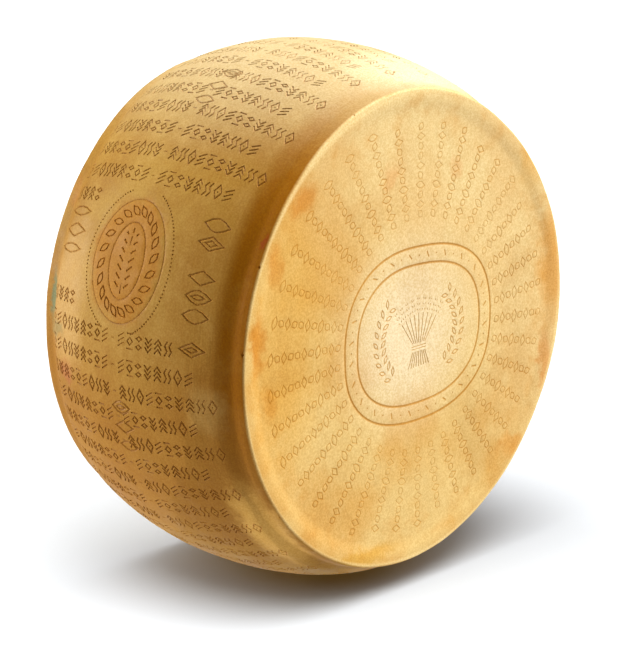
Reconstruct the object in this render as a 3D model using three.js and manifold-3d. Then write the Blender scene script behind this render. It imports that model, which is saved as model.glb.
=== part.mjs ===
// A whole wheel of hard aged cheese, standing on the barrel of its rind, as wheels are shown.
// Millimetres, +Z up. The wheel's axis runs along Y and its front face looks towards -Y.
// The origin is the middle of the bounding box's base, on the small flat that the wheel rests on.
import * as THREE from "three";
import { mergeVertices } from "three/addons/utils/BufferGeometryUtils.js";
import Module from "manifold-3d";

// Driving dimensions of the wheel.
const FACE_RADIUS = 200; // out to the crest of the rim that runs round each face
const HEIGHT = 226; // from rim to rim, along Y
const BULGE = 24.6; // how far the barrel stands out past the rims at mid height
const BULGE_POWER = 2.1; // 2 is a parabola, and more is a flatter middle
const REST_DEPTH = 1.5; // how far the rind is pressed flat where the wheel stands

// The rim and the hollow that the mould's edge leaves behind it.
const RIM_ROUND = 3; // radius of the crest
const RIM_WIDTH = 6; // the level ring inside the crest
const DISH_SLOPE = 7; // the slope between that ring and the face
const DISH_DEPTH = 2; // how far the face lies below the rim
const COVE_WIDTH = 22;
const COVE_DEPTH = 2.5;
const COVE_CENTRE = 13; // from the rim's plane

// A wheel is never quite round: each entry is a number of lobes, their height and where one stands.
const LOBES = [
  { count: 2, height: 1.6, degrees: 125 },
  { count: 3, height: 1.5, degrees: -10 },
  { count: 4, height: 0.8, degrees: 6 },
];

// Stamps pressed into the rind. Sizes are across the stamp, along its two directions.
const GROOVE_RADIUS = 1.8; // of the round edge that presses each line
const GROOVE_DEPTH = 1;
const MEDALLION = { x: 13.7, z: -5.7, wide: 184, high: 148, frame: 15 };
const SEAL = { y: 5, degrees: 159.6, wide: 78, high: 102, frame: 18 }; // degrees from +X towards +Z

// How finely the curves are cut into facets.
const AROUND = 96;
const BARREL_STEPS = 20;
const CREST_STEPS = 2;
const DISH_STEPS = 2;
const FACE_RINGS = [60, 140]; // radii
const STAMP_STEPS = 48;
const GROOVE_SIDES = 6;

const RIND_COLOUR = 0xc9984a;
const RIND_ROUGHNESS = 0.55;

const HALF_HEIGHT = HEIGHT / 2;
const RADIANS = Math.PI / 180;
const wasm = await Module();
wasm.setup();

// 1 in the middle of a hollow, falling smoothly to 0 at u = -1 and 1.
const hollow = (u) => (Math.abs(u) < 1 ? (1 + Math.cos(Math.PI * u)) / 2 : 0);

// The rind's radius at a height y along the axis, before any lobes.
function barrelRadius(y) {
  const t = Math.abs(y) / (HALF_HEIGHT - RIM_ROUND);
  const fromRim = HALF_HEIGHT - Math.abs(y);
  const cove = COVE_DEPTH * hollow((fromRim - COVE_CENTRE) / (COVE_WIDTH / 2));
  return FACE_RADIUS + BULGE * (1 - t ** BULGE_POWER) - cove;
}

// The share by which the lobes widen the wheel at an angle from +X towards +Z.
function lobes(angle) {
  return LOBES.reduce(
    (sum, { count, height, degrees }) =>
      sum + (height / FACE_RADIUS) * Math.cos(count * (angle - degrees * RADIANS)),
    0,
  );
}

// Half of the outline, from the barrel's middle over the crest and in to the axis, as [radius, y].
function halfOutline() {
  const points = [];
  const barrelTop = HALF_HEIGHT - RIM_ROUND;
  for (let i = 0; i <= BARREL_STEPS / 2; i++) {
    // A sine sets the steps closer together towards the rim, where the cove is.
    const y = barrelTop * Math.sin((i / (BARREL_STEPS / 2)) * (Math.PI / 2));
    points.push([barrelRadius(y), y]);
  }
  for (let i = 1; i <= CREST_STEPS; i++) {
    const turn = (i / CREST_STEPS) * (Math.PI / 2);
    const inward = RIM_ROUND * (1 - Math.cos(turn));
    points.push([FACE_RADIUS - inward, barrelTop + RIM_ROUND * Math.sin(turn)]);
  }
  const ringEdge = FACE_RADIUS - RIM_ROUND - RIM_WIDTH;
  for (let i = 0; i <= DISH_STEPS; i++) {
    const drop = (DISH_DEPTH * (1 - Math.cos((Math.PI * i) / DISH_STEPS))) / 2;
    points.push([ringEdge - (DISH_SLOPE * i) / DISH_STEPS, HALF_HEIGHT - drop]);
  }
  for (const radius of [...FACE_RINGS].reverse()) points.push([radius, HALF_HEIGHT - DISH_DEPTH]);
  points.push([0, HALF_HEIGHT - DISH_DEPTH]);
  return points;
}

// The whole outline turned about Y, then widened by the lobes.
function wheelGeometry() {
  const half = halfOutline();
  const mirrored = half.slice(1).map(([radius, y]) => [radius, -y]);
  const outline = [...mirrored.reverse(), ...half].map(([radius, y]) => new THREE.Vector2(radius, y));
  const geometry = new THREE.LatheGeometry(outline, AROUND);
  const places = geometry.getAttribute("position");
  for (let i = 0; i < places.count; i++) {
    const x = places.getX(i);
    const z = places.getZ(i);
    const widened = 1 + lobes(Math.atan2(z, x));
    places.setXYZ(i, x * widened, places.getY(i), z * widened);
  }
  return geometry;
}

// A closed oval on the wheel, given by a function from (across, up) to a point in space.
class StampOval extends THREE.Curve {
  constructor(wide, high, onSurface) {
    super();
    Object.assign(this, { wide, high, onSurface });
  }
  getPoint(t, target = new THREE.Vector3()) {
    const turn = 2 * Math.PI * t;
    return target.copy(
      this.onSurface((this.wide / 2) * Math.cos(turn), (this.high / 2) * Math.sin(turn)),
    );
  }
}

// How far the pressing edge's centre stands off the surface.
const EDGE_LIFT = GROOVE_RADIUS - GROOVE_DEPTH;

// A place on the front (side = -1) or back (side = 1) face. Both faces read alike from outside.
function onFace(side) {
  const y = side * (HALF_HEIGHT - DISH_DEPTH + EDGE_LIFT);
  return (across, up) => new THREE.Vector3(-side * (MEDALLION.x + across), y, MEDALLION.z + up);
}

// A place on the barrel, with across along Y and up round the wheel.
function onBarrel(across, up) {
  const y = SEAL.y + across;
  const angle = SEAL.degrees * RADIANS - up / barrelRadius(SEAL.y);
  const radius = barrelRadius(y) * (1 + lobes(angle)) + EDGE_LIFT;
  return new THREE.Vector3(radius * Math.cos(angle), y, radius * Math.sin(angle));
}

// The outer line of a stamp and a second one inside it, as tubes ready to be cut away.
function stampTubes({ wide, high, frame }, onSurface) {
  return [0, frame].map((inset) => {
    const oval = new StampOval(wide - 2 * inset, high - 2 * inset, onSurface);
    return new THREE.TubeGeometry(oval, STAMP_STEPS, GROOVE_RADIUS, GROOVE_SIDES, true);
  });
}

function solidFrom(geometry) {
  const bare = geometry.clone().deleteAttribute("normal").deleteAttribute("uv");
  const merged = mergeVertices(bare, 1e-4);
  return new wasm.Manifold(
    new wasm.Mesh({
      numProp: 3,
      vertProperties: merged.getAttribute("position").array,
      triVerts: new Uint32Array(merged.index.array),
    }),
  );
}

function geometryFrom(solid) {
  const { vertProperties, triVerts } = solid.getMesh();
  const geometry = new THREE.BufferGeometry();
  geometry.setAttribute("position", new THREE.BufferAttribute(vertProperties, 3));
  geometry.setIndex(new THREE.BufferAttribute(triVerts, 1));
  return geometry;
}

// The floor's cut: a slab whose top is REST_DEPTH above the wheel's lowest point.
function floorSlab(geometry) {
  geometry.computeBoundingBox();
  const side = 2 * (FACE_RADIUS + BULGE + RIM_ROUND);
  const top = geometry.boundingBox.min.z + REST_DEPTH;
  return new THREE.BoxGeometry(side, side, side).translate(0, 0, top - side / 2);
}

function cheeseWheel() {
  const body = wheelGeometry();
  const cuts = [
    floorSlab(body),
    ...stampTubes(MEDALLION, onFace(-1)),
    ...stampTubes(MEDALLION, onFace(1)),
    ...stampTubes(SEAL, onBarrel),
  ];
  const solid = cuts.reduce((left, cut) => left.subtract(solidFrom(cut)), solidFrom(body));
  const geometry = geometryFrom(solid);
  geometry.computeBoundingBox();
  const { min, max } = geometry.boundingBox;
  geometry.translate(-(min.x + max.x) / 2, -(min.y + max.y) / 2, -min.z);
  geometry.computeVertexNormals();
  const rind = new THREE.MeshStandardMaterial({
    color: RIND_COLOUR,
    roughness: RIND_ROUGHNESS,
    metalness: 0,
  });
  const mesh = new THREE.Mesh(geometry, rind);
  mesh.name = "cheese_wheel";
  return mesh;
}

const wheel = new THREE.Group();
wheel.add(cheeseWheel());

export default wheel;
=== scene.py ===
"""A whole wheel of hard aged cheese with a stamped rind, on a pale floor in a plain studio."""

import functools
import itertools
import math

import bmesh
import bpy
from bpy.props import FloatProperty, FloatVectorProperty, IntProperty, PointerProperty
from mathutils import Matrix, Vector, noise


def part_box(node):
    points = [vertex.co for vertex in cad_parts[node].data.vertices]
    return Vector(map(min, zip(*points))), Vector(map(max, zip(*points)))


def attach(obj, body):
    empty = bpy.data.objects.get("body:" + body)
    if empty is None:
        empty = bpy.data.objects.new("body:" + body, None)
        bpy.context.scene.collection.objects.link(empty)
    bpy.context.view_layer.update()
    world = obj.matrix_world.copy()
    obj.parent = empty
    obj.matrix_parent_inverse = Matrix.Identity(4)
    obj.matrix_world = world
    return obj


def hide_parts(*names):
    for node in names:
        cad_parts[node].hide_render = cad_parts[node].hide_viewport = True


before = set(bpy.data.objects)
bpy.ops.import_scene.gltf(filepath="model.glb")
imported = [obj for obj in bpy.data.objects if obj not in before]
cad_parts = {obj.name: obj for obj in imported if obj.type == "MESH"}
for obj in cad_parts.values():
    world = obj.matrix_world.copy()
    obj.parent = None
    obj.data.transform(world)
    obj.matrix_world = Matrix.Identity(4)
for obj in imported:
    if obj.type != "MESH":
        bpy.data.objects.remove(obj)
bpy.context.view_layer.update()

bl_info = {
    "name": "Cheese wheel",
    "version": (1, 0, 0),
    "blender": (4, 5, 0),
    "location": "3D View > Sidebar > Cheese",
    "description": "Builds a whole wheel of hard aged cheese with a stamped rind",
    "category": "Add Mesh",
}

MM = 0.001
WHEEL = "wheel"
STAMP = "stamp"
PRESSED = "pressed"  # 0 on the rind's surface, 1 at the bottom of a mark
TINY = 0.01 * MM  # points nearer than this are one

# A wheel is never quite round: lobes, their height and where one stands, from +X towards +Z.
LOBES = (
    (2, 1.6 * MM, math.radians(125)),
    (3, 1.5 * MM, math.radians(-10)),
    (4, 0.8 * MM, math.radians(6)),
)


# ---- What a user would change ---------------------------------------------------------------


def length(name, description, default):
    """A size in metres that a user can change."""
    return FloatProperty(name=name, description=description, default=default, unit="LENGTH", precision=4)


def linear(hexed):
    """An sRGB hex colour as linear red, green, blue and alpha."""
    shares = [int(hexed[i : i + 2], 16) / 255 for i in (1, 3, 5)]
    return [c / 12.92 if c <= 0.04045 else ((c + 0.055) / 1.055) ** 2.4 for c in shares] + [1.0]


def colour(name, description, hexed):
    """A colour that a user can change."""
    default = linear(hexed)
    return FloatVectorProperty(
        name=name, description=description, default=default, size=4, min=0, max=1, subtype="COLOR"
    )


class WheelSizes(bpy.types.PropertyGroup):
    """Sizes of the whole wheel."""

    face_radius: length("Face radius", "From the axis to the crest of the rim", 200 * MM)
    height: length("Height", "From rim to rim, along the axis", 226 * MM)
    bulge: length("Bulge", "How far the barrel stands out past the rims", 24.6 * MM)
    bulge_power: FloatProperty(
        name="Bulge power", description="2 is a parabola, and more is a flatter middle", default=2.1
    )
    rest_depth: length("Resting flat", "How deep the rind is pressed flat under the wheel", 1.5 * MM)
    rim_round: length("Rim rounding", "Radius of the crest of the rim", 2.4 * MM)
    rim_width: length("Rim width", "Level ring inside the crest", 5 * MM)
    dish_slope: length("Dish slope", "Width of the slope inside the rim", 13 * MM)
    dish_depth: length("Dish depth", "How far a face lies below its rim", 2 * MM)
    cove_width: length("Cove width", "Width of the hollow behind the rim", 22 * MM)
    cove_depth: length("Cove depth", "Depth of the hollow behind the rim", 2.5 * MM)
    cove_centre: length("Cove centre", "From the rim's plane to the hollow's middle", 13 * MM)
    lump_height: length("Lumps", "Height of the broad lumps in the rind", 0.7 * MM)
    lump_size: length("Lump size", "Distance between the broad lumps", 70 * MM)


class MarkSizes(bpy.types.PropertyGroup):
    """Sizes of the marks that the mould and the irons leave in the rind."""

    rows: IntProperty(name="Rows", description="Dotted rows round the barrel", default=63, min=1)
    cell: length("Motif spacing", "From one dotted motif to the next along a row", 9.5 * MM)
    motif_wide: length("Motif width", "Of a dotted motif, along a row", 6.6 * MM)
    motif_high: length("Motif height", "Of a dotted motif, up its height", 12.4 * MM)
    dot: length("Dot", "Across one pin mark", 1.9 * MM)
    dot_step: length("Dot spacing", "Between the pins of a motif", 2.3 * MM)
    dot_depth: length("Dot depth", "Depth of one pin mark", 0.8 * MM)
    dot_wear: length("Dot wear", "How much shallower the pin marks are where they're faint", 0.2 * MM)
    line_width: length("Line width", "Width of a burnt-in line", 2.4 * MM)
    line_depth: length("Line depth", "Depth of a burnt-in line", 0.7 * MM)
    face_line: length("Face line", "Width of the fine lines on the faces", 1.5 * MM)
    face_depth: length("Face depth", "Depth of the fine lines on the faces", 0.36 * MM)
    face_wear: length("Face wear", "How much shallower they are at their inner ends", 0.16 * MM)


class RindColours(bpy.types.PropertyGroup):
    """Colours of the rind."""

    barrel: colour("Barrel", "Most of the barrel", "#c69e4e")
    barrel_cloud: colour("Barrel clouds", "Broad darker clouds on the barrel", "#b98c3e")
    barrel_patch: colour("Barrel patches", "Small paler patches on the barrel", "#d6b066")
    # Painted light, not dust: the top of the barrel is paler, as if lit from above.
    painted_top_light: colour("Dusty top", "Top of the barrel, where the dry crumbs settle", "#d8c59c")
    # Painted shade: the lower barrel, and its front at mid height, are browner where shade falls.
    under: colour("Underside", "Lower half of the barrel", "#a56f1f")
    # Partly browned rind and partly painted shade in the hollows behind the rims.
    cove: colour("Coves", "Hollows behind the rims", "#a66c00")
    scorch: colour("Scorch", "Where the hot seal browned the rind", "#c38a34")
    face: colour("Face", "Most of the faces", "#e3c586")
    face_cloud: colour("Face clouds", "Broad deeper clouds on the faces", "#dab069")
    face_middle: colour("Face middle", "Paler middle of the faces", "#f4e5c6")
    # Painted light: the upper right of each face is paler, as if lit from that side.
    face_painted_light: colour("Face light", "Paler upper right of the faces", "#f6e2b2")
    handled: colour("Handled", "Patches inside the rims, where hands turn the wheel", "#d39a48")
    # Partly wear and partly a painted highlight along the crests.
    crest: colour("Crests", "Worn crests of the rims", "#f4dca4")
    # Painted shade in the barrel's marks, darker with their depth.
    barrel_mark_shade: colour("Barrel marks", "Soil in the marks of the barrel", "#925c1f")
    # Painted shade in the faces' marks, darker with their depth.
    face_mark_shade: colour("Face marks", "Soil in the marks of the faces", "#c98f2c")


# ---- Bare shape of the wheel ----------------------------------------------------------------


def hollow(u):
    """1 in the middle of a hollow, falling smoothly to 0 at -1 and 1."""
    return (1 + math.cos(math.pi * u)) / 2 if abs(u) < 1 else 0.0


def barrel_radius(y, s):
    """The rind's radius at y along the axis, before any lobes."""
    along = abs(y) / (s.height / 2 - s.rim_round)
    from_rim = s.height / 2 - abs(y)
    cove = s.cove_depth * hollow((from_rim - s.cove_centre) / (s.cove_width / 2))
    return s.face_radius + s.bulge * (1 - along**s.bulge_power) - cove


def lobes(angle, s):
    """The share by which the lobes widen the wheel at an angle from +X towards +Z."""
    return sum(h / s.face_radius * math.cos(count * (angle - at)) for count, h, at in LOBES)


BAND = (-82.75 * MM, 88.25 * MM)  # along y, as long as 18 cells of a dotted row
COVE_STEP = 2.8 * MM  # a facet's greatest length across a cove
CREST_STEPS = 4
SLOPE_STEPS = 3


def steps_between(low, high, step):
    """Even steps from low up to but not including high, none longer than step."""
    count = math.ceil((high - low) / step)
    return [low + (high - low) * i / count for i in range(count)]


def outline(s, m):
    """Points (radius, y) of the wheel's section, from the edge of the front face to the back's."""
    top = s.height / 2 - s.rim_round
    along = steps_between(-top, BAND[0], COVE_STEP)
    along += [BAND[0] + m.cell * i for i in range(round((BAND[1] - BAND[0]) / m.cell))]
    along += steps_between(BAND[1], top, COVE_STEP) + [top]
    barrel = [(barrel_radius(y, s), y) for y in along]
    rim = []
    for i in range(1, CREST_STEPS + 1):
        turn = math.pi / 2 * i / CREST_STEPS
        inward = s.rim_round * (1 - math.cos(turn))
        rim.append((s.face_radius - inward, top + s.rim_round * math.sin(turn)))
    ring = s.face_radius - s.rim_round - s.rim_width
    for i in range(SLOPE_STEPS + 1):
        drop = s.dish_depth * (1 - math.cos(math.pi * i / SLOPE_STEPS)) / 2
        rim.append((ring - s.dish_slope * i / SLOPE_STEPS, s.height / 2 - drop))
    return [(radius, -y) for radius, y in reversed(rim)] + barrel + rim


def new_piece(name, bm):
    """Makes an object of a bmesh, at the origin."""
    mesh = bpy.data.meshes.new(name)
    bm.to_mesh(mesh)
    bm.free()
    piece = bpy.data.objects.new(name, mesh)
    bpy.context.scene.collection.objects.link(piece)
    return piece


# ---- Marks, drawn flat and then laid on the wheel ---------------------------------------------
# A flat design is in metres: x to the right, y up and z out of the rind.

LIFT = 0.4  # of its depth, how far a pin or a line stands out of the rind before it's pressed in
BLOCK = (math.pi / 4, math.sqrt(0.5))  # a pin's turn and reach when its end is a small square
LEAF = (0.0, 0.5)  # and when its end is a lozenge, as long and wide as it's said to be
UPRIGHT = math.pi / 2
STILL = Matrix.Identity(4)
LINE_STEP = 5 * MM  # between the points of a line that has to follow the barrel


def add_pin(bm, shape, at, long, wide, depth, turn=0.0):
    """Adds a four-sided point to a flat design."""
    corner, reach = shape
    reach *= 1 + LIFT
    place = (
        Matrix.Translation((*at, (LIFT - 1) * depth / 2))
        @ Matrix.Rotation(turn, 4, "Z")
        @ Matrix.Diagonal((long * reach, wide * reach, 1, 1))
        @ Matrix.Rotation(corner, 4, "Z")
    )
    bmesh.ops.create_cone(
        bm, cap_ends=True, segments=4, radius1=0, radius2=1, depth=(1 + LIFT) * depth, matrix=place
    )


def add_lines(bm, lines, width, depth):
    """Adds edges that cut a V along lines of (right, up) points. A line whose ends meet is closed."""
    curve = bpy.data.curves.new("lines", "CURVE")
    curve.dimensions = "2D"
    curve.bevel_depth = width / 2
    curve.bevel_resolution = 0
    curve.use_fill_caps = True
    for line in lines:
        closed = (Vector(line[0]) - Vector(line[-1])).length < TINY
        points = line[:-1] if closed else line
        spline = curve.splines.new("POLY")
        spline.points.add(len(points) - 1)
        spline.use_cyclic_u = closed
        for point, place in zip(spline.points, points):
            point.co = (*place, 0, 1)
    holder = bpy.data.objects.new("lines", curve)
    mesh = holder.to_mesh()
    mesh.transform(Matrix.Diagonal((1, 1, 2 * depth / width, 1)))
    bm.from_mesh(mesh)
    holder.to_mesh_clear()
    bpy.data.objects.remove(holder)


def flat_design(draw):
    """Runs draw(bm) on an empty bmesh and returns the closed solids that it adds, as a mesh."""
    bm = bmesh.new()
    draw(bm)
    bmesh.ops.remove_doubles(bm, verts=bm.verts, dist=TINY)
    mesh = bpy.data.meshes.new("design")
    bm.to_mesh(mesh)
    bm.free()
    return mesh


def oval_point(across, up, angle, power=2.0):
    """A point of an oval. A power above 2 squares its shoulders."""
    c, s = math.cos(angle), math.sin(angle)
    swell = (abs(c) ** power + abs(s) ** power) ** (-1 / power)
    return across * c * swell, up * s * swell


def oval(across, up, steps, power=2.0):
    """A closed oval that reaches across and up from its middle."""
    return [oval_point(across, up, math.tau * (i % steps) / steps, power) for i in range(steps + 1)]


def leaf(long, wide, steps=3):
    """A closed leaf along x, pointed at both ends."""
    half = [(long * (i / steps - 0.5), wide / 2 * math.sin(math.pi * i / steps)) for i in range(steps)]
    return half + [(-x, -y) for x, y in half] + half[:1]


def lozenge(long, wide):
    return leaf(long, wide, 2)


def moved(line, right, up, turn=0.0):
    """The same line turned and then moved."""
    c, s = math.cos(turn), math.sin(turn)
    return [(right + x * c - y * s, up + x * s + y * c) for x, y in line]


def divided(line):
    """The same line with more points, so that it follows the rind where that curves."""
    points = []
    for a, b in zip(line, line[1:]):
        count = math.ceil(math.dist(a, b) / LINE_STEP)
        points += [Vector(a).lerp(Vector(b), i / count) for i in range(count)]
    return points + [line[-1]]


def lay(cutter, design, wrap, place=STILL):
    """Adds a design to the cutter: place moves it in the flat, and wrap lays it on the wheel."""
    first = len(cutter.verts)
    cutter.from_mesh(design)
    cutter.verts.ensure_lookup_table()
    for vert in cutter.verts[first:]:
        vert.co = wrap(place @ vert.co)


def on_barrel(y, degrees, s):
    """Wraps the flat round the barrel, its middle at y and degrees above -X, its right to the front."""

    def wrap(p):
        angle = math.pi - math.radians(degrees) - p.y / barrel_radius(0, s)
        along = y - p.x
        radius = barrel_radius(along, s) + p.z
        return Vector((radius * math.cos(angle), along, radius * math.sin(angle)))

    return wrap


def on_face(side, s):
    """Lays the flat on the front (side -1) or back (side 1) face, its middle on the axis."""
    level = s.height / 2 - s.dish_depth
    return lambda p: Vector((-side * p.x, side * (level + p.z), p.y))


# ---- Marks of the barrel ------------------------------------------------------------------------

MIDDLE = 7.5 * MM  # along y, where a row's two halves meet
ROW_DEGREES = 4.65  # where one row stands above -X
DASH = 6 * MM  # length of the dash between the halves
CELLS = (range(-9, 9), range(-9, 11))  # of even and odd rows, from the back to the front
CELL_SKIP, ROW_SKIP = 3, 5  # steps through the motifs from cell to cell and from row to row
SEAL_Y, SEAL_DEGREES = 5 * MM, 20.6
SEAL_ROWS = (7, 36)  # degrees between which the rows make room for the seal
STUB_ROWS = (13, 30)  # and of which the outer ones start again towards the back
STUB_Y = 55 * MM
LONG_STAMP_Y, LONG_STAMP_DEGREES = -70.5 * MM, 18.6
LONG_STAMP_ROWS = (3, 7)  # degrees between which the row makes room for the long stamp's end
LONG_STAMP_CLEAR = 16 * MM  # from the stamp's middle to that row
BACK_STAMP_Y, BACK_STAMP_DEGREES = 80.5 * MM, 24.8
SMALL_STAMPS = ((5.5 * MM, 63.4), (2.5 * MM, -14.9))  # y and degrees of each


def is_kept_clear(y, degrees):
    """True where the seal and the larger stamps take the place of the dotted rows."""
    if SEAL_ROWS[0] < degrees < SEAL_ROWS[1]:
        return y < STUB_Y or STUB_ROWS[0] < degrees < STUB_ROWS[1]
    return LONG_STAMP_ROWS[0] < degrees < LONG_STAMP_ROWS[1] and y < LONG_STAMP_Y + LONG_STAMP_CLEAR


FADE_SIZE = 60 * MM  # distance between the faint places
FADE_MIDDLE, FADE_SWING = 0.3, 1.2  # share of the wear, and how far it swings either way


def worn(place, most):
    """How far the stamp stood off the rind at a place, so that its marks come out shallower there."""
    return most * min(max(FADE_MIDDLE + FADE_SWING * noise.noise(place / FADE_SIZE), 0), 1)


def motifs(m):
    """The lines along which the pins of each motif stand, drawn round 0."""
    half, up = m.motif_wide / 2, m.motif_high / 2
    narrow = 1.7 * half  # width of a lozenge that has others or bars beside it
    chevron = [(-half, -up / 3), (0, up / 3), (half, -up / 3)]
    slant = [(-half, -up / 3), (half, up / 3)]
    wave = [(-half / 3, -up), (half / 3, -up / 3), (-half / 3, up / 3), (half / 3, up)]
    bar = [(-half, 0), (half, 0)]
    core = [(0, -up / 12), (0, up / 12)]
    three = (-up / 1.6, 0, up / 1.6)  # how far up three lines above each other stand
    return (
        [lozenge(2 * half, 2 * up), core],
        [moved(chevron, 0, at) for at in three],
        [moved(lozenge(narrow, 0.62 * up), 0, at) for at in (-up / 1.8, up / 1.8)],
        [moved(slant, 0, at) for at in three],
        [moved(wave, at, 0) for at in (-half / 1.6, half / 1.6)],
        [moved(chevron, 0, at, math.pi) for at in three],
        [moved(bar, 0, -up), lozenge(narrow, up), moved(bar, 0, up)],
    )


def barrel_rows(s, m):
    """The lines of pins of the dotted rows that the mould presses into the barrel."""
    designs = [flat_design(lambda bm: add_lines(bm, lines, m.dot, m.dot_depth)) for lines in motifs(m)]
    dash = flat_design(lambda bm: add_pin(bm, BLOCK, (0, 0), DASH, m.dot, m.dot_depth))
    cutter = bmesh.new()
    for row in range(m.rows):
        degrees = ROW_DEGREES + row * 360 / m.rows
        degrees -= 360 * (degrees > 180)
        for cell in CELLS[row % 2]:
            y = MIDDLE - cell * m.cell
            if is_kept_clear(y, degrees):
                continue
            wrap = on_barrel(y, degrees, s)
            lift = Matrix.Translation((0, 0, worn(wrap(Vector()), m.dot_wear)))
            turn = Matrix.Rotation(math.pi * (cell < 0), 4, "Z")
            motif = (CELL_SKIP * abs(cell) + ROW_SKIP * (row % 2)) % len(designs)
            lay(cutter, designs[motif] if cell else dash, wrap, lift @ turn)
    return cutter


SEAL_ACROSS, SEAL_UP = 38 * MM, 51 * MM  # half its width and height
# Its two ovals: shares of those, steps round them, and their share of a burnt-in line's depth.
SEAL_OVALS = ((1, 1, 56, 0.7), (0.48, 0.62, 44, 0.8))
SEAL_OVAL_LINE = 2.6 * MM
SEAL_LEAVES = 20
SEAL_LEAF = (11 * MM, 5.6 * MM)  # length and width
SEAL_LEAF_LINE = 1.6 * MM
SEAL_LEAF_LEAN = 0.8
SEAL_LEAF_RING = (0.745, 0.815)  # share of the seal's half width and height where they stand


def ear(bm, depth):
    """An ear of grain: a stem, pairs of kernels that lean out from it, and one above it."""
    stem, top = (-27, 20), (22.5, 27)
    pairs, lowest, step = 7, -20, 7
    off, lean = 5.5, 0.7
    half, taper, fullest = 3.4, 0.12, 2  # kernels are shorter above and below the fullest pair
    stem_line, kernel_line = 1.4 * MM, 2.2 * MM
    add_lines(bm, [[(0, up * MM) for up in stem]], stem_line, depth)
    for i in range(pairs):
        reach = (half - taper * (i - fullest) ** 2) * MM
        up = (lowest + step * i) * MM
        for side in (-1, 1):
            kernel = moved([(-reach, 0), (reach, 0)], side * off * MM, up, side * lean)
            add_lines(bm, [kernel], kernel_line, depth)
    add_lines(bm, [[(0, up * MM) for up in top]], kernel_line, depth)


def seal_design(m):
    """The oval iron: two lines with leaves between them, and an ear of grain in the middle."""

    def draw(bm):
        for across, up, steps, share in SEAL_OVALS:
            line = oval(across * SEAL_ACROSS, up * SEAL_UP, steps)
            add_lines(bm, [line], SEAL_OVAL_LINE, share * m.line_depth)
        across, up = SEAL_LEAF_RING
        for i in range(SEAL_LEAVES):
            angle = math.tau * (i + 0.5) / SEAL_LEAVES
            place = oval_point(across * SEAL_ACROSS, up * SEAL_UP, angle)
            line = moved(leaf(*SEAL_LEAF), *place, angle + SEAL_LEAF_LEAN)
            add_lines(bm, [line], SEAL_LEAF_LINE, m.line_depth)
        ear(bm, m.line_depth)

    return flat_design(draw)


RING_ACROSS, RING_UP = 46 * MM, 61 * MM  # half the width and height of the ring of pins
RING_PINS = 45  # on each side
RING_ARC = math.radians(68)  # half of what they fill of each side
RING_PIN = 1.8 * MM


def pin_ring_design(m):
    """The ring of pins round the seal, open at its top and bottom."""

    def draw(bm):
        for side, i in itertools.product((0, math.pi), range(RING_PINS)):
            angle = side + RING_ARC * (2 * i / (RING_PINS - 1) - 1)
            at = oval_point(RING_ACROSS, RING_UP, angle)
            turn = math.atan2(RING_UP * math.cos(angle), -RING_ACROSS * math.sin(angle))
            add_pin(bm, BLOCK, at, RING_PIN, RING_PIN, m.dot_depth, turn)

    return flat_design(draw)


# Outlines of an ornament: steps along each one's half, and its share of the length and the width.
ORNAMENTS = {
    "leaf": ((4, 1, 1),),
    "twin leaf": ((4, 1, 1), (3, 0.5, 0.35)),
    "lozenge": ((2, 1, 1),),
    "twin lozenge": ((2, 1, 1), (2, 0.45, 0.4)),
}
# Columns of ornaments: kind, length, width and how far up it stands, in mm.
LONG_STAMP = (
    ("twin lozenge", 22, 12, -52),
    ("leaf", 22, 12, -24),
    ("twin leaf", 22, 12, -8),
    ("lozenge", 22, 12, 8),
    ("twin lozenge", 22, 12, 37),
    ("leaf", 22, 12, 53),
)
BACK_STAMP = (
    ("leaf", 29, 8, 17),
    ("lozenge", 29, 12, 0),
    ("leaf", 29, 8, -16),
)
SMALL_STAMP = (
    ("leaf", 19, 9, -18),
    ("lozenge", 19, 11, 0),
    ("twin leaf", 19, 11, 18),
)


def stamp_design(column, m):
    """A column of burnt-in ornaments."""

    def draw(bm):
        for kind, long, wide, up in column:
            lines = [
                divided(moved(leaf(long * MM * share, wide * MM * narrowing, steps), 0, up * MM))
                for steps, share, narrowing in ORNAMENTS[kind]
            ]
            add_lines(bm, lines, m.line_width, m.line_depth)

    return flat_design(draw)


def barrel_stamps(s, m):
    """The oval seal and the larger stamps beside it."""
    cutter = bmesh.new()
    seal = on_barrel(SEAL_Y, SEAL_DEGREES, s)
    lay(cutter, seal_design(m), seal)
    lay(cutter, pin_ring_design(m), seal)
    lay(cutter, stamp_design(LONG_STAMP, m), on_barrel(LONG_STAMP_Y, LONG_STAMP_DEGREES, s))
    lay(cutter, stamp_design(BACK_STAMP, m), on_barrel(BACK_STAMP_Y, BACK_STAMP_DEGREES, s))
    return cutter


def small_stamps(s, m):
    """The small stamps that go over the dotted rows."""
    cutter = bmesh.new()
    for y, degrees in SMALL_STAMPS:
        lay(cutter, stamp_design(SMALL_STAMP, m), on_barrel(y, degrees, s))
    return cutter


# ---- Marks of the faces -------------------------------------------------------------------------

PLATE = Vector((13.7, -5.7, 0)) * MM  # the stamping plate's middle, off the wheel's own
PLATE_REACH = 173 * MM  # marks further from the wheel's axis miss the face
GARLANDS = 38
GARLAND_START = 101 * MM  # from the plate's middle
GARLAND_STEP = 8 * MM


def garland_designs(m):
    """The leaves and lozenges of one garland from its inner end outwards, each drawn round 0."""
    tall, small = leaf(11 * MM, 6 * MM), leaf(7 * MM, 6 * MM)
    diamond = lozenge(6 * MM, 9.6 * MM)
    lean, steep = 0.6, 1.4
    group = [(small, lean), (diamond, 0), (small, -lean)]
    items = [*group, (tall, steep), *group, *group, (tall, steep)]
    return [
        flat_design(lambda bm: add_lines(bm, [moved(line, 0, 0, turn)], m.face_line, m.face_depth))
        for line, turn in items
    ]


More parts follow.
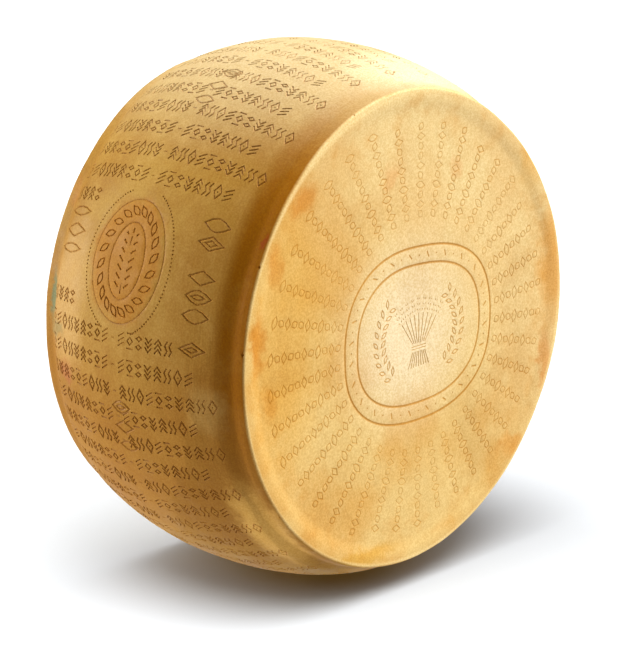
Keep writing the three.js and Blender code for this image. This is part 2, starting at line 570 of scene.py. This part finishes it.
def face_garlands(s, m):
    """The rays of leaves round the medallions of both faces."""
    cutter = bmesh.new()
    garland = garland_designs(m)
    for side, i in itertools.product((-1, 1), range(GARLANDS)):
        wrap = on_face(side, s)
        turn = Matrix.Translation(PLATE) @ Matrix.Rotation(math.tau * (i + 0.5) / GARLANDS, 4, "Z")
        for k, design in enumerate(garland):
            at = turn @ Matrix.Translation((GARLAND_START + GARLAND_STEP * k, 0, 0))
            if at.translation.length < PLATE_REACH:
                fade = m.face_wear * (1 - k / len(garland))
                lift = (fade + worn(wrap(at.translation), m.face_wear)) / 2
                lay(cutter, design, wrap, at @ Matrix.Translation((0, 0, lift)))
    return cutter


MEDALLION_ACROSS, MEDALLION_UP = 92 * MM, 74 * MM  # half its width and height
MEDALLION_FRAME = 15 * MM
MEDALLION_STEPS = 72
SHOULDERS = 2.5  # power of the medallion's oval
FRAME_LINE, FRAME_DEPTH = 2.6 * MM, 0.55 * MM
BEADS = 48
BEAD_HALVES = (0.6 * MM, 2.8 * MM)  # half the lengths of the short and the long ones
BEAD_LINE = 2 * MM
BEAD_LEAN = 0.6


def sheaf(bm, m):
    """Nine stalks of grain that fan out above and below their band."""
    width, depth = 0.65 * m.face_line, m.face_depth
    step, fan = 1.9 * MM, 9  # between the stalks, and the degrees by which each leans more
    foot_up, longest, shorter = -8, 26, 0.5
    below_up, below_long, below_fan = -15, 13, 0.7
    kernels, kernel_long, kernel_wide, kernel_lean = 3, 3.2 * MM, 1.3 * MM, 0.5
    first, spacing = 2.8, 4.6  # of the kernels above a stalk's tip
    aside, closer = 1.5, 0.2
    band_ups, band_half = (-10.5, -12.8), 9
    for i in range(-4, 5):
        lean = math.radians(fan * i)
        along = Vector((math.sin(lean), math.cos(lean)))
        across = Vector((math.cos(lean), -math.sin(lean)))
        foot = Vector((step * i, foot_up * MM))
        tip = foot + along * (longest - shorter * abs(i)) * MM
        add_lines(bm, [[foot, tip]], width, depth)
        below = Vector((step * i, below_up * MM))
        end = below + Vector((math.sin(lean) * below_fan, -1)) * below_long * MM
        add_lines(bm, [[below, end]], width, depth)
        for k, side in itertools.product(range(kernels), (-1, 1)):
            at = tip + along * (first + spacing * k) * MM
            out = across * side * (aside - closer * k) * MM
            turn = UPRIGHT - lean - side * kernel_lean
            add_pin(bm, LEAF, at + out, kernel_long, kernel_wide, depth, turn)
    for up in band_ups:
        add_lines(bm, [[(-band_half * MM, up * MM), (band_half * MM, up * MM)]], width, depth)


def branches(bm, m):
    """A branch of paired leaves on each side of the sheaf."""
    across, up = 50 * MM, 42 * MM  # half the width and height of the oval that they follow
    step, off, lean = 0.19, 4.6 * MM, 0.75
    blade, width = leaf(7.4 * MM, 3.4 * MM), 0.9 * m.face_line
    for side, i in itertools.product((-1, 1), range(-4, 5)):
        angle = step * i
        x, y = across * math.cos(angle), up * math.sin(angle)
        for flip in (-1, 1):
            aside = flip * off
            at = side * (x + aside * math.cos(angle)), y + aside * math.sin(angle)
            turn = UPRIGHT + angle - flip * lean
            turn = turn if side > 0 else math.pi - turn
            add_lines(bm, [moved(blade, *at, turn)], width, m.face_depth)


def medallion_design(m):
    """Two oval lines with beads between them, round a sheaf and two branches."""

    def draw(bm):
        for inset in (0, MEDALLION_FRAME):
            line = oval(MEDALLION_ACROSS - inset, MEDALLION_UP - inset, MEDALLION_STEPS, SHOULDERS)
            add_lines(bm, [line], FRAME_LINE, FRAME_DEPTH)
        inset = MEDALLION_FRAME / 2
        for i in range(BEADS):
            angle = math.tau * i / BEADS
            at = oval_point(MEDALLION_ACROSS - inset, MEDALLION_UP - inset, angle, SHOULDERS)
            half = BEAD_HALVES[i % 2]
            bead = moved([(-half, 0), (half, 0)], *at, angle + BEAD_LEAN)
            add_lines(bm, [bead], BEAD_LINE, m.face_depth)
        sheaf(bm, m)
        branches(bm, m)

    return flat_design(draw)


def medallions(s, m):
    """The oval medallions of both faces."""
    cutter = bmesh.new()
    design = medallion_design(m)
    for side in (-1, 1):
        lay(cutter, design, on_face(side, s), Matrix.Translation(PLATE))
    return cutter


# Chips in the crests: y in mm, degrees above -X, and length and width in mm.
NICKS = (
    (-111.5, 26, 5, 2.5),
    (-111, 6, 7, 3),
    (-111.5, -38, 4, 2),
    (-111.5, 205, 5, 2),
    (111, 40, 6, 3),
)
NICK_DEPTH = 1.3 * MM
PINHOLES_Y = -112 * MM
PINHOLES_DEGREES = (158, 166, 176, 184, 194, 120, 70)
PINHOLE_WIDTH, PINHOLE_DEPTH = 1.3 * MM, 1.2 * MM


def rim_damage(s, m):
    """Chips and pinholes in the crests of the rims."""
    cutter = bmesh.new()
    for y, degrees, long, wide in NICKS:
        chip = flat_design(lambda bm: add_pin(bm, LEAF, (0, 0), wide * MM, long * MM, NICK_DEPTH))
        lay(cutter, chip, on_barrel(y * MM, degrees, s))
    pinhole = (PINHOLE_WIDTH, PINHOLE_WIDTH, PINHOLE_DEPTH)
    hole = flat_design(lambda bm: add_pin(bm, BLOCK, (0, 0), *pinhole))
    for degrees in PINHOLES_DEGREES:
        lay(cutter, hole, on_barrel(PINHOLES_Y, degrees, s))
    return cutter


# ---- Pressing, settling and ageing the rind ---------------------------------------------------


def apply_modifiers(piece):
    """Makes a piece's modifiers part of its mesh."""
    made = bpy.data.meshes.new_from_object(piece.evaluated_get(bpy.context.evaluated_depsgraph_get()))
    piece.modifiers.clear()
    bare, piece.data = piece.data, made
    bpy.data.meshes.remove(bare)


def press(piece, cutter):
    """Cuts the closed solids of the cutter out of the piece."""
    stamp = new_piece(STAMP, cutter)
    cut = piece.modifiers.new(STAMP, "BOOLEAN")
    cut.operation = "DIFFERENCE"
    cut.solver = "MANIFOLD"
    cut.object = stamp
    apply_modifiers(piece)
    bpy.data.objects.remove(stamp)


SURFACE_SLACK = 0.2 * MM  # a facet's middle lies nearer to the true rind than this, and a mark deeper


def settle(vert, s, full_depth):
    """Moves a vertex off a facet onto the true rind. Returns how deep it is pressed, from 0 to 1."""
    x, y, z = vert.co
    radius = math.hypot(x, z)
    depth = 0.0
    if abs(y) <= s.height / 2 - s.rim_round:
        depth = barrel_radius(y, s) - radius
        if radius > s.face_radius / 2 and abs(depth) < SURFACE_SLACK:
            widen = (radius + depth) / radius
            vert.co = x * widen, y, z * widen
            depth = 0.0
    if radius < s.face_radius - s.rim_round - s.rim_width - s.dish_slope:
        depth = s.height / 2 - s.dish_depth - abs(y)
        if abs(depth) < TINY:
            depth = 0.0
    return min(depth / full_depth, 1.0)


LONG_EDGE = 22 * MM  # an edge longer than this is halved, so that the lumps have points to lift
LONG_EDGE_CUTS = 3
OUTWARD_POWER = 8  # how sharply outwards turns at the rims
SHARP_ANGLE = math.radians(28)  # between faces, past which an edge is shaded as a corner


def outwards(place, s):
    """The direction straight out of the rind: round the barrel, along the axis on a face."""
    radius = math.hypot(place.x, place.z)
    level = (radius / s.face_radius) ** OUTWARD_POWER / max(radius, TINY)
    along = math.copysign((abs(place.y) / (s.height / 2)) ** OUTWARD_POWER, place.y)
    return Vector((place.x * level, along, place.z * level)).normalized()


SMALL_LUMP_SIZE, SMALL_LUMP_HEIGHT = 0.33, 0.4  # shares of a broad one's


def lump(place, s):
    """How far the broad and the smaller lumps lift the rind at a place."""
    broad = noise.noise(place / s.lump_size)
    small = noise.noise(place / (SMALL_LUMP_SIZE * s.lump_size))
    return s.lump_height * (broad + SMALL_LUMP_HEIGHT * small)


def fit_to_box(bm, low, high):
    """Scales and moves the mesh to fill a box exactly."""
    here_low = Vector([min(v.co[i] for v in bm.verts) for i in range(3)])
    here_high = Vector([max(v.co[i] for v in bm.verts) for i in range(3)])
    scale = [(high[i] - low[i]) / (here_high[i] - here_low[i]) for i in range(3)]
    bmesh.ops.translate(bm, vec=-here_low, verts=bm.verts)
    bmesh.ops.scale(bm, vec=scale, verts=bm.verts)
    bmesh.ops.translate(bm, vec=low, verts=bm.verts)


class CHEESE_OT_turn_wheel(bpy.types.Operator):
    """Spins the wheel's outline into its plain round body"""

    bl_idname = "cheese.turn_wheel"
    bl_label = "Turn the wheel"

    def execute(self, context):
        s, m = context.scene.wheel_sizes, context.scene.mark_sizes
        bm = bmesh.new()
        verts = [bm.verts.new((radius, y, 0)) for radius, y in outline(s, m)]
        edges = [bm.edges.new(pair) for pair in zip(verts, verts[1:])]
        bmesh.ops.spin(
            bm,
            geom=verts + edges,
            cent=(0, 0, 0),
            axis=(0, 1, 0),
            angle=math.tau,
            steps=2 * m.rows,
            use_merge=True,
        )
        bmesh.ops.remove_doubles(bm, verts=bm.verts, dist=TINY)
        bmesh.ops.holes_fill(bm, edges=bm.edges, sides=0)
        # A row runs along the middle of its facets.
        turn = math.radians(ROW_DEGREES) + math.pi / (2 * m.rows)
        bmesh.ops.rotate(bm, verts=bm.verts, cent=(0, 0, 0), matrix=Matrix.Rotation(turn, 3, "Y"))
        bmesh.ops.recalc_face_normals(bm, faces=bm.faces)
        new_piece(WHEEL, bm)
        return {"FINISHED"}


class CHEESE_OT_press_barrel(bpy.types.Operator):
    """Presses the dotted rows, the seal and the larger stamps into the barrel"""

    bl_idname = "cheese.press_barrel"
    bl_label = "Press the barrel"

    def execute(self, context):
        s, m = context.scene.wheel_sizes, context.scene.mark_sizes
        for draw in (barrel_rows, barrel_stamps, small_stamps, rim_damage):
            press(bpy.data.objects[WHEEL], draw(s, m))
        return {"FINISHED"}


class CHEESE_OT_press_faces(bpy.types.Operator):
    """Presses the garlands and the medallion into both faces"""

    bl_idname = "cheese.press_faces"
    bl_label = "Press the faces"

    def execute(self, context):
        s, m = context.scene.wheel_sizes, context.scene.mark_sizes
        for draw in (face_garlands, medallions):
            press(bpy.data.objects[WHEEL], draw(s, m))
        return {"FINISHED"}


class CHEESE_OT_age_wheel(bpy.types.Operator):
    """Settles the wheel onto its flat, and makes it as uneven as an aged one"""

    bl_idname = "cheese.age_wheel"
    bl_label = "Age the wheel"

    def execute(self, context):
        s, m = context.scene.wheel_sizes, context.scene.mark_sizes
        wheel = bpy.data.objects[WHEEL]
        bm = bmesh.new()
        bm.from_mesh(wheel.data)
        bmesh.ops.triangulate(bm, faces=bm.faces, quad_method="BEAUTY", ngon_method="BEAUTY")
        for _ in range(LONG_EDGE_CUTS):
            long_edges = [edge for edge in bm.edges if edge.calc_length() > LONG_EDGE]
            bmesh.ops.subdivide_edges(bm, edges=long_edges, cuts=1)
            bmesh.ops.triangulate(bm, faces=bm.faces, quad_method="BEAUTY", ngon_method="BEAUTY")
        pressed = bm.verts.layers.float.new(PRESSED)
        for vert in bm.verts:
            vert[pressed] = settle(vert, s, m.dot_depth)
            shift = outwards(vert.co, s) * lump(vert.co, s)
            widen = 1 + lobes(math.atan2(vert.co.z, vert.co.x), s)
            vert.co = Vector((vert.co.x * widen, vert.co.y, vert.co.z * widen)) + shift
        floor = min(vert.co.z for vert in bm.verts) + s.rest_depth
        for vert in bm.verts:
            vert.co.z = max(vert.co.z, floor)
        fit_to_box(bm, *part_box("cheese_wheel"))
        bm.to_mesh(wheel.data)
        bm.free()
        wheel.data.shade_smooth()
        wheel.data.set_sharp_from_angle(angle=SHARP_ANGLE)
        # Large facets lead the shading, so that it stays flat beside the small walls of the marks.
        wheel.modifiers.new("normals", "WEIGHTED_NORMAL").keep_sharp = True
        apply_modifiers(wheel)
        return {"FINISHED"}


# ---- Finish -----------------------------------------------------------------------------------

AXIS = Vector((-1.5, 0, 223.7)) * MM  # where the wheel's axis ends up in the frame


def add(tree, kind, inputs=None, **settings):
    """Adds a shader node. inputs maps a socket's name or number to a value or another node's output."""
    node = tree.nodes.new("ShaderNode" + kind)
    for name, value in settings.items():
        setattr(node, name, value)
    for socket, value in (inputs or {}).items():
        if isinstance(value, bpy.types.NodeSocket):
            tree.links.new(value, node.inputs[socket])
        else:
            node.inputs[socket].default_value = value
    return node


def mixed(tree, share, a, b, blend="MIX"):
    """Colour a turning into b by share."""
    return add(tree, "Mix", {0: share, 6: a, 7: b}, data_type="RGBA", blend_type=blend).outputs[2]


def ramp(tree, value, low, high, start=0.0, end=1.0):
    """A smooth step from start to end as the value goes from low to high."""
    inputs = {"Value": value, "From Min": low, "From Max": high, "To Min": start, "To Max": end}
    return add(tree, "MapRange", inputs, interpolation_type="SMOOTHSTEP").outputs[0]


def calc(tree, operation, a, b=0.0):
    """One step of arithmetic."""
    return add(tree, "Math", {0: a, 1: b}, operation=operation).outputs[0]


def mottle(tree, place, size, detail=3.0, roughness=0.55):
    """Cloudy noise from 0 to 1 whose clouds are about as large as size."""
    inputs = {"Vector": place, "Scale": 1 / size, "Detail": detail, "Roughness": roughness}
    return add(tree, "TexNoise", inputs)


def spot(tree, place, centre, sizes, degrees=0.0, core=0.3):
    """1 in the core of an oval spot and 0 outside it. The spot is turned by degrees about the axis."""
    turn = (0, math.radians(degrees), 0)
    inputs = {"Vector": place, "Location": centre, "Rotation": turn, "Scale": sizes}
    local = add(tree, "Mapping", inputs, vector_type="TEXTURE").outputs[0]
    far = add(tree, "VectorMath", {0: local}, operation="LENGTH").outputs["Value"]
    return ramp(tree, far, 1.0, core)


SPOT_REACH = 60 * MM  # how far above and below the barrel a spot on it reaches
FACE_SPOT_REACH = 30 * MM


def barrel_spot(tree, place, y, degrees, across, up, s, core=0.3):
    """An oval spot on the barrel at y and degrees above -X."""
    angle = math.radians(degrees)
    radius = barrel_radius(y, s)
    centre = (-radius * math.cos(angle), y, radius * math.sin(angle))
    return spot(tree, place, centre, (SPOT_REACH, across, up), degrees, core)


# Stains on the barrel, and two patches of painted light: y in mm, degrees above -X, half width and half
# height in mm, colour, strength.
BARREL_STAINS_AND_LIGHT = (
    # Painted highlight on the top of the barrel beside the front rim.
    (-82, 102, 50, 110, "#f0e2bc", 0.85),
    # Painted light on the lower front cove, as if lit from low in front.
    (-92, -44, 26, 80, "#efc06c", 0.95),
    (74, 10, 36, 90, "#e0b878", 0.7),
    (-80, -8, 20, 30, "#cda764", 0.5),
    (99, 9, 7, 26, "#6a8c70", 0.7),
    (90, 2, 12, 10, "#6f8465", 0.35),
    (76, -7, 17, 16, "#b3603f", 0.45),
    (-107, 32.5, 4, 8, "#ab4a24", 0.6),
    (103, 34, 9, 18, "#cc8a3a", 0.4),
)
# Blotches on the front face: x and z from the axis, half width and half height in mm, colour, strength.
FACE_STAINS = (
    (-150, 20, 60, 150, "#dfae52", 0.55),
    (-128, 133, 22, 18, "#d08c30", 0.7),
    (-163, 84, 16, 28, "#d08c2c", 0.6),
    (-181, 24, 12, 34, "#cc8620", 0.75),
    (-168, -26, 14, 18, "#d29438", 0.55),
    (-62, -184, 60, 12, "#d3a035", 0.6),
    (140, -132, 30, 14, "#da9c48", 0.6),
    (180, -66, 12, 44, "#da9448", 0.6),
    (156, 112, 24, 34, "#dfa950", 0.4),
    (190, 24, 26, 80, "#dda04a", 0.7),
    (-22, 132, 14, 12, "#e0a060", 0.35),
    (58, 130, 12, 14, "#e0a060", 0.3),
)
# The hot seal browned a spot a little wider and higher than itself.
SCORCH = {"y": SEAL_Y + 2 * MM, "degrees": SEAL_DEGREES, "across": 44 * MM, "up": 58 * MM, "core": 0.75}

# Sizes of the patterns in the rind.
CLOUD = 70 * MM
PATCH = 22 * MM
SPECK = 1.5 * MM  # drawn coarser than the real grain, to show at all
STAIN_EDGE = 30 * MM  # how far the edges of the stains wander
BRUSHED = 1.8 * MM  # between the lines from turning and brushing, which run round the barrel
BRUSHED_LENGTH = 12  # how many times longer than that they are
GRIT = 1.7 * MM
DENT = 12 * MM
SPECK_TINT = "#ece0c9"
ROUGHNESS = (0.52, 0.68)  # waxy where it was rubbed, and drier in the patches
GLOSS = 0.17  # low, as on a dry waxy surface

# Where each tone starts and where it is full: heights above the axis, places along y, distances from
# the wheel's middle plane and radii.
# Painted light from above: heights over which the barrel's top turns paler.
TOP_LIGHT_HEIGHTS = (140 * MM, 235 * MM)
# Painted shade: heights over which the lower barrel turns browner.
UNDER_HEIGHTS = (60 * MM, -80 * MM)
# Painted light from the floor: heights over which that painted shade eases near the floor.
FLOOR_LIT_HEIGHTS = (-210 * MM, -130 * MM)
# Painted shade: the band of heights, from below the axis to well above it, where the side is shaded.
HALFWAY_DOWN, HALFWAY_UP = (215 * MM, 130 * MM), (-110 * MM, 0.0)
# The front of the barrel, where that painted shade is deeper.
TOWARDS_FRONT = (-25 * MM, -85 * MM)
# Coves: where the browned rind and the painted shade of the hollows lie, stronger towards the front.
COVES = (82 * MM, 97 * MM)
COVES_FRONT = (60 * MM, -60 * MM)
FACE_MIDDLE = (110 * MM, 10 * MM)
# Painted light on the faces' upper right, over these sums of x and z.
FACE_PAINTED_LIGHT = (-60 * MM, 160 * MM)  # of x and z together
HANDLED = (130 * MM, 182 * MM)
OVER_RIM = (110.4 * MM, 112.4 * MM)
DISHED, INSIDE_RIM = (108.5 * MM, 110.5 * MM), (194 * MM, 190 * MM)
# Crests: where the wear and the painted highlight lie.
CREST, CREST_RING = (111.8 * MM, 112.7 * MM), (195 * MM, 198 * MM)
BRUSHED_FROM = (20 * MM, 80 * MM)


def cheese_rind(s, m, c):
    """Rind of hard cheese, dried, salted and brushed for two years.

    That leaves it waxy with a soft sheen, golden, cloudy and browned in its hollows. Its colour also holds
    painted light, paler on top and on the faces' upper right, and painted shade, browner below, towards
    the front, in its hollows and in its marks.
    """
    material = bpy.data.materials.new("aged_cheese_rind")
    material.use_nodes = True
    tree = material.node_tree
    shader = tree.nodes["Principled BSDF"]
    part = add(tree, "TexCoord").outputs["Object"]
    place = add(tree, "Mapping", {"Vector": part, "Location": -AXIS}).outputs[0]
    pressed = add(tree, "Attribute", attribute_name=PRESSED).outputs["Fac"]
    x, y, z = add(tree, "SeparateXYZ", {0: place}).outputs
    flat = add(tree, "CombineXYZ", {0: x, 1: 0.0, 2: z}).outputs[0]
    radius = add(tree, "VectorMath", {0: flat}, operation="LENGTH").outputs["Value"]
    along = calc(tree, "ABSOLUTE", y)

    def product(*shares):
        return functools.reduce(lambda a, b: calc(tree, "MULTIPLY", a, b), shares)

    def stained(rind, share, stain, strength=1.0):
        return mixed(tree, product(share, strength), rind, stain)

    clouds = ramp(tree, mottle(tree, place, CLOUD).outputs[0], 0.35, 0.65)
    patch_noise = mottle(tree, place, PATCH, 4.0, 0.65)
    patches = patch_noise.outputs[0]
    around = product(calc(tree, "ARCTAN2", x, z), s.face_radius)
    wobble = add(tree, "VectorMath", {0: patch_noise.outputs[1], 1: (0.5, 0.5, 0.5)}, operation="SUBTRACT")
    wobble = add(tree, "VectorMath", {0: wobble.outputs[0], 3: STAIN_EDGE}, operation="SCALE")
    rough_place = add(tree, "VectorMath", {0: place, 1: wobble.outputs[0]}, operation="ADD").outputs[0]

    # Barrel: golden; painted light makes it paler on top, painted shade makes it browner below and towards
    # the front, and the coves are browned rind deepened with painted shade.
    barrel = mixed(tree, clouds, c.barrel, c.barrel_cloud)
    barrel = stained(barrel, ramp(tree, patches, 0.45, 0.7), c.barrel_patch, 0.5)
    # Painted light: paler towards the top of the barrel.
    barrel = stained(barrel, ramp(tree, z, *TOP_LIGHT_HEIGHTS), c.painted_top_light, 0.9)
    # Painted shade below, eased near the floor as if lit by it.
    below = product(ramp(tree, z, *UNDER_HEIGHTS), ramp(tree, z, *FLOOR_LIT_HEIGHTS, 0.4))
    barrel = stained(barrel, below, c.under, 0.65)
    # Painted shade on the front of the barrel at mid height.
    mid_height_shade = product(ramp(tree, z, *HALFWAY_DOWN), ramp(tree, z, *HALFWAY_UP))
    barrel = stained(barrel, product(ramp(tree, y, *TOWARDS_FRONT), mid_height_shade), c.under, 0.4)
    # Coves: browned rind, with painted shade that is deepest at mid height and towards the front.
    beside_rim = product(ramp(tree, along, *COVES), ramp(tree, y, *COVES_FRONT, 0.3))
    blotchy = ramp(tree, patches, 0.2, 0.6, 0.6)
    cove = product(beside_rim, calc(tree, "ADD", mid_height_shade, 0.15), blotchy)
    barrel = stained(barrel, cove, c.cove, 0.95)
    barrel = stained(barrel, barrel_spot(tree, rough_place, s=s, **SCORCH), c.scorch, 0.85)
    for at, degrees, across, up, hexed, strength in BARREL_STAINS_AND_LIGHT:
        share = barrel_spot(tree, rough_place, at * MM, degrees, across * MM, up * MM, s)
        barrel = stained(barrel, share, linear(hexed), strength)
    # Painted shade in the marks, darker with their depth and most of all in a dotted pattern, so that the
    # pins' holes show.
    ripples = [calc(tree, "COSINE", product(way, math.tau / m.dot_step)) for way in (around, y)]
    holes = ramp(tree, calc(tree, "ADD", *ripples), -1.0, 0.6, 0.15)
    barrel = stained(barrel, product(ramp(tree, pressed, 0.0, 0.6), holes), c.barrel_mark_shade, 0.65)

    # Faces: paler, with painted light on their upper right, orange blotches inside the rim where they were
    # handled, and painted shade in their marks.
    face = mixed(tree, clouds, c.face, c.face_cloud)
    face = stained(face, ramp(tree, radius, *FACE_MIDDLE), c.face_middle, 0.8)
    face = stained(face, ramp(tree, calc(tree, "ADD", x, z), *FACE_PAINTED_LIGHT), c.face_painted_light, 0.45)
    handled = product(ramp(tree, radius, *HANDLED), ramp(tree, patches, 0.45, 0.72))
    face = stained(face, handled, c.handled, 0.4)
    for at, up, across, high, hexed, strength in FACE_STAINS:
        sizes = (across * MM, FACE_SPOT_REACH, high * MM)
        share = spot(tree, rough_place, (at * MM, -s.height / 2, up * MM), sizes)
        face = stained(face, share, linear(hexed), strength)
    # Painted shade in the faces' marks.
    face = stained(face, ramp(tree, pressed, 0.0, 0.3), c.face_mark_shade, 0.7)

    inside_rim = product(ramp(tree, along, *DISHED), ramp(tree, radius, *INSIDE_RIM))
    on_the_face = calc(tree, "MAXIMUM", ramp(tree, along, *OVER_RIM), inside_rim)
    rind = mixed(tree, on_the_face, barrel, face)
    # Crests: paler, partly worn and partly a painted highlight.
    crest = product(ramp(tree, along, *CREST), ramp(tree, radius, *CREST_RING))
    rind = stained(rind, crest, c.crest, 0.7)
    specks = ramp(tree, mottle(tree, place, SPECK, 2.0).outputs[0], 0.3, 0.7, 0.0, 0.8)
    speckled = mixed(tree, 1.0, rind, linear(SPECK_TINT), "MULTIPLY")
    tree.links.new(mixed(tree, specks, rind, speckled), shader.inputs["Base Color"])

    tree.links.new(ramp(tree, patches, 0.3, 0.7, *ROUGHNESS), shader.inputs["Roughness"])
    shader.inputs["Specular IOR Level"].default_value = GLOSS

    # Dents, fine lines round the barrel where it was turned and brushed, and grit.
    wound = add(tree, "CombineXYZ", {0: product(around, 1 / BRUSHED_LENGTH), 1: y, 2: 0.0}).outputs[0]
    lines = mottle(tree, wound, BRUSHED, 2.0).outputs[0]
    lines = product(lines, ramp(tree, along, *BRUSHED_FROM, 0.15, 1.0))
    grit = mottle(tree, place, GRIT, 3.0, 0.6).outputs[0]
    dents = mottle(tree, place, DENT, 3.0).outputs[0]
    bump = None
    reliefs = ((dents, 1.8 * MM, 0.3), (lines, 0.5 * MM, 0.4), (grit, 0.5 * MM, 0.1))
    for height, depth, strength in reliefs:
        inputs = {"Height": height, "Distance": depth, "Strength": strength}
        if bump:
            inputs["Normal"] = bump
        bump = add(tree, "Bump", inputs).outputs[0]
    tree.links.new(bump, shader.inputs["Normal"])
    return material


class CHEESE_OT_finish_rind(bpy.types.Operator):
    """Gives the wheel its rind"""

    bl_idname = "cheese.finish_rind"
    bl_label = "Finish the rind"

    def execute(self, context):
        wheel = bpy.data.objects[WHEEL]
        scene = context.scene
        rind = cheese_rind(scene.wheel_sizes, scene.mark_sizes, scene.rind_colours)
        wheel.data.materials.clear()
        wheel.data.materials.append(rind)
        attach(wheel, "root")
        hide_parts("cheese_wheel")
        return {"FINISHED"}


# ---- Stage ------------------------------------------------------------------------------------

PHOTO_HIGH = 663  # pixels, the picture's longer side
SENSOR = 36  # mm
FOCAL_PIXELS = 3140.7
CAMERA_DISTANCE = 2.65
CAMERA_AZIMUTH, CAMERA_ELEVATION = math.radians(-47.68), math.radians(15.2)
WHEEL_OFFSET = Vector((0.9, 27.5))  # pixels from the picture's middle to the wheel's, right and up

# Soft lights: what each one lights, its degrees round from the front, degrees up, how wide it looks in
# degrees, and its strength. The floor's own lights place the wheel's shadow, and the others shape it.
LIGHTS = {
    "floor_front": ("floor", 5, 56, 70, 2.6),
    "floor_left": ("floor", -132, 45, 70, 3.3),
    "floor_overhead": ("floor", -48, 74, 60, 5.0),
    "top": (WHEEL, 60, 62, 50, 2.7),
    "key": (WHEEL, 50, 30, 30, 1.2),
    "edge": (WHEEL, -150, 12, 25, 1.9),
}
SKY = (0.78, 0.07)  # light from below the horizon, as a pale floor gives, and from above
HORIZON = (-0.5, 0.1)  # heights between which the one turns into the other
EXPOSURE = 0.45
FLOOR_RADIUS = 30
FLOOR_SIDES = 96
PAPER_COLOUR = "#8c8e90"
PAPER_ROUGHNESS = 0.9


def away(azimuth, elevation):
    """The direction from the wheel towards a place round it, as a unit vector."""
    level = math.cos(elevation)
    return Vector((math.sin(azimuth) * level, -math.cos(azimuth) * level, math.sin(elevation)))


def look_along(name, data, direction):
    """Adds a camera or light that looks back along a direction."""
    holder = bpy.data.objects.new(name, data)
    holder.rotation_euler = direction.to_track_quat("Z", "Y").to_euler()
    bpy.context.scene.collection.objects.link(holder)
    return holder


def set_camera(scene):
    """Aims the camera beside the wheel, so that the wheel stands in the picture as in the photograph."""
    low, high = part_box("cheese_wheel")
    back = away(CAMERA_AZIMUTH, CAMERA_ELEVATION)
    right = Vector((math.cos(CAMERA_AZIMUTH), math.sin(CAMERA_AZIMUTH), 0))
    offset = right * WHEEL_OFFSET.x + back.cross(right) * WHEEL_OFFSET.y
    camera = bpy.data.cameras.new("camera")
    camera.sensor_width = SENSOR
    camera.lens = FOCAL_PIXELS / PHOTO_HIGH * SENSOR
    direction = back * CAMERA_DISTANCE + offset * CAMERA_DISTANCE / FOCAL_PIXELS
    holder = look_along("camera", camera, direction)
    holder.location = (low + high) / 2 + back * CAMERA_DISTANCE
    scene.camera = holder


def lay_floor():
    """Lays a floor of matt paper, a grey that its lights bring to white."""
    bm = bmesh.new()
    bmesh.ops.create_circle(bm, cap_ends=True, segments=FLOOR_SIDES, radius=FLOOR_RADIUS)
    floor = new_piece("floor", bm)
    paper = bpy.data.materials.new("white_studio_paper")
    paper.use_nodes = True
    shader = paper.node_tree.nodes["Principled BSDF"]
    shader.inputs["Base Color"].default_value = linear(PAPER_COLOUR)
    shader.inputs["Roughness"].default_value = PAPER_ROUGHNESS
    floor.data.materials.append(paper)
    # The floor is bright enough to clip, so its light and its mirror image would flood the rind.
    floor.visible_diffuse = False
    floor.visible_glossy = False


def light_studio(scene):
    """Adds the soft lights and the light from all round."""
    world = bpy.data.worlds.new("studio")
    world.use_nodes = True
    tree = world.node_tree
    sky = tree.nodes["Background"]
    up = add(tree, "TexCoord").outputs["Generated"]
    height = add(tree, "SeparateXYZ", {0: up}).outputs["Z"]
    tree.links.new(ramp(tree, height, *HORIZON, *SKY), sky.inputs["Strength"])
    sky.inputs["Color"].default_value = (1, 1, 1, 1)
    scene.world = world
    for name, (lit, azimuth, elevation, width, strength) in LIGHTS.items():
        light = bpy.data.lights.new(name, "SUN")
        light.angle = math.radians(width)
        light.energy = strength
        lamp = look_along(name, light, away(math.radians(azimuth), math.radians(elevation)))
        receivers = bpy.data.collections.new("lit_by_" + name)
        receivers.objects.link(bpy.data.objects[lit])
        lamp.light_linking.receiver_collection = receivers


class CHEESE_OT_set_stage(bpy.types.Operator):
    """Adds the pale floor, the soft lights and the camera"""

    bl_idname = "cheese.set_stage"
    bl_label = "Set the stage"

    def execute(self, context):
        scene = context.scene
        set_camera(scene)
        lay_floor()
        light_studio(scene)
        scene.view_settings.view_transform = "Standard"
        scene.view_settings.look = "Medium High Contrast"
        scene.view_settings.exposure = EXPOSURE
        return {"FINISHED"}


class CHEESE_PT_wheel(bpy.types.Panel):
    """Lists the steps and the sizes of the cheese wheel"""

    bl_idname = "CHEESE_PT_wheel"
    bl_label = "Cheese wheel"
    bl_space_type = "VIEW_3D"
    bl_region_type = "UI"
    bl_category = "Cheese"

    def draw(self, context):
        for step in STEPS:
            self.layout.operator(step.bl_idname)
        for group in (getattr(context.scene, name) for name in GROUPS):
            box = self.layout.box()
            for name in group.bl_rna.properties.keys():
                if name not in ("rna_type", "name"):
                    box.prop(group, name)


STEPS = (
    CHEESE_OT_turn_wheel,
    CHEESE_OT_press_barrel,
    CHEESE_OT_press_faces,
    CHEESE_OT_age_wheel,
    CHEESE_OT_finish_rind,
    CHEESE_OT_set_stage,
)
GROUPS = {"wheel_sizes": WheelSizes, "mark_sizes": MarkSizes, "rind_colours": RindColours}


def register():
    for kind in (*GROUPS.values(), *STEPS, CHEESE_PT_wheel):
        bpy.utils.register_class(kind)
    for name, kind in GROUPS.items():
        setattr(bpy.types.Scene, name, PointerProperty(type=kind))


def unregister():
    for name in GROUPS:
        delattr(bpy.types.Scene, name)
    for kind in reversed((*GROUPS.values(), *STEPS, CHEESE_PT_wheel)):
        bpy.utils.unregister_class(kind)


def main():
    """Builds the wheel and its stage."""
    register()
    for step in STEPS:
        family, name = step.bl_idname.split(".")
        getattr(getattr(bpy.ops, family), name)()


if __name__ == "__main__":
    main()
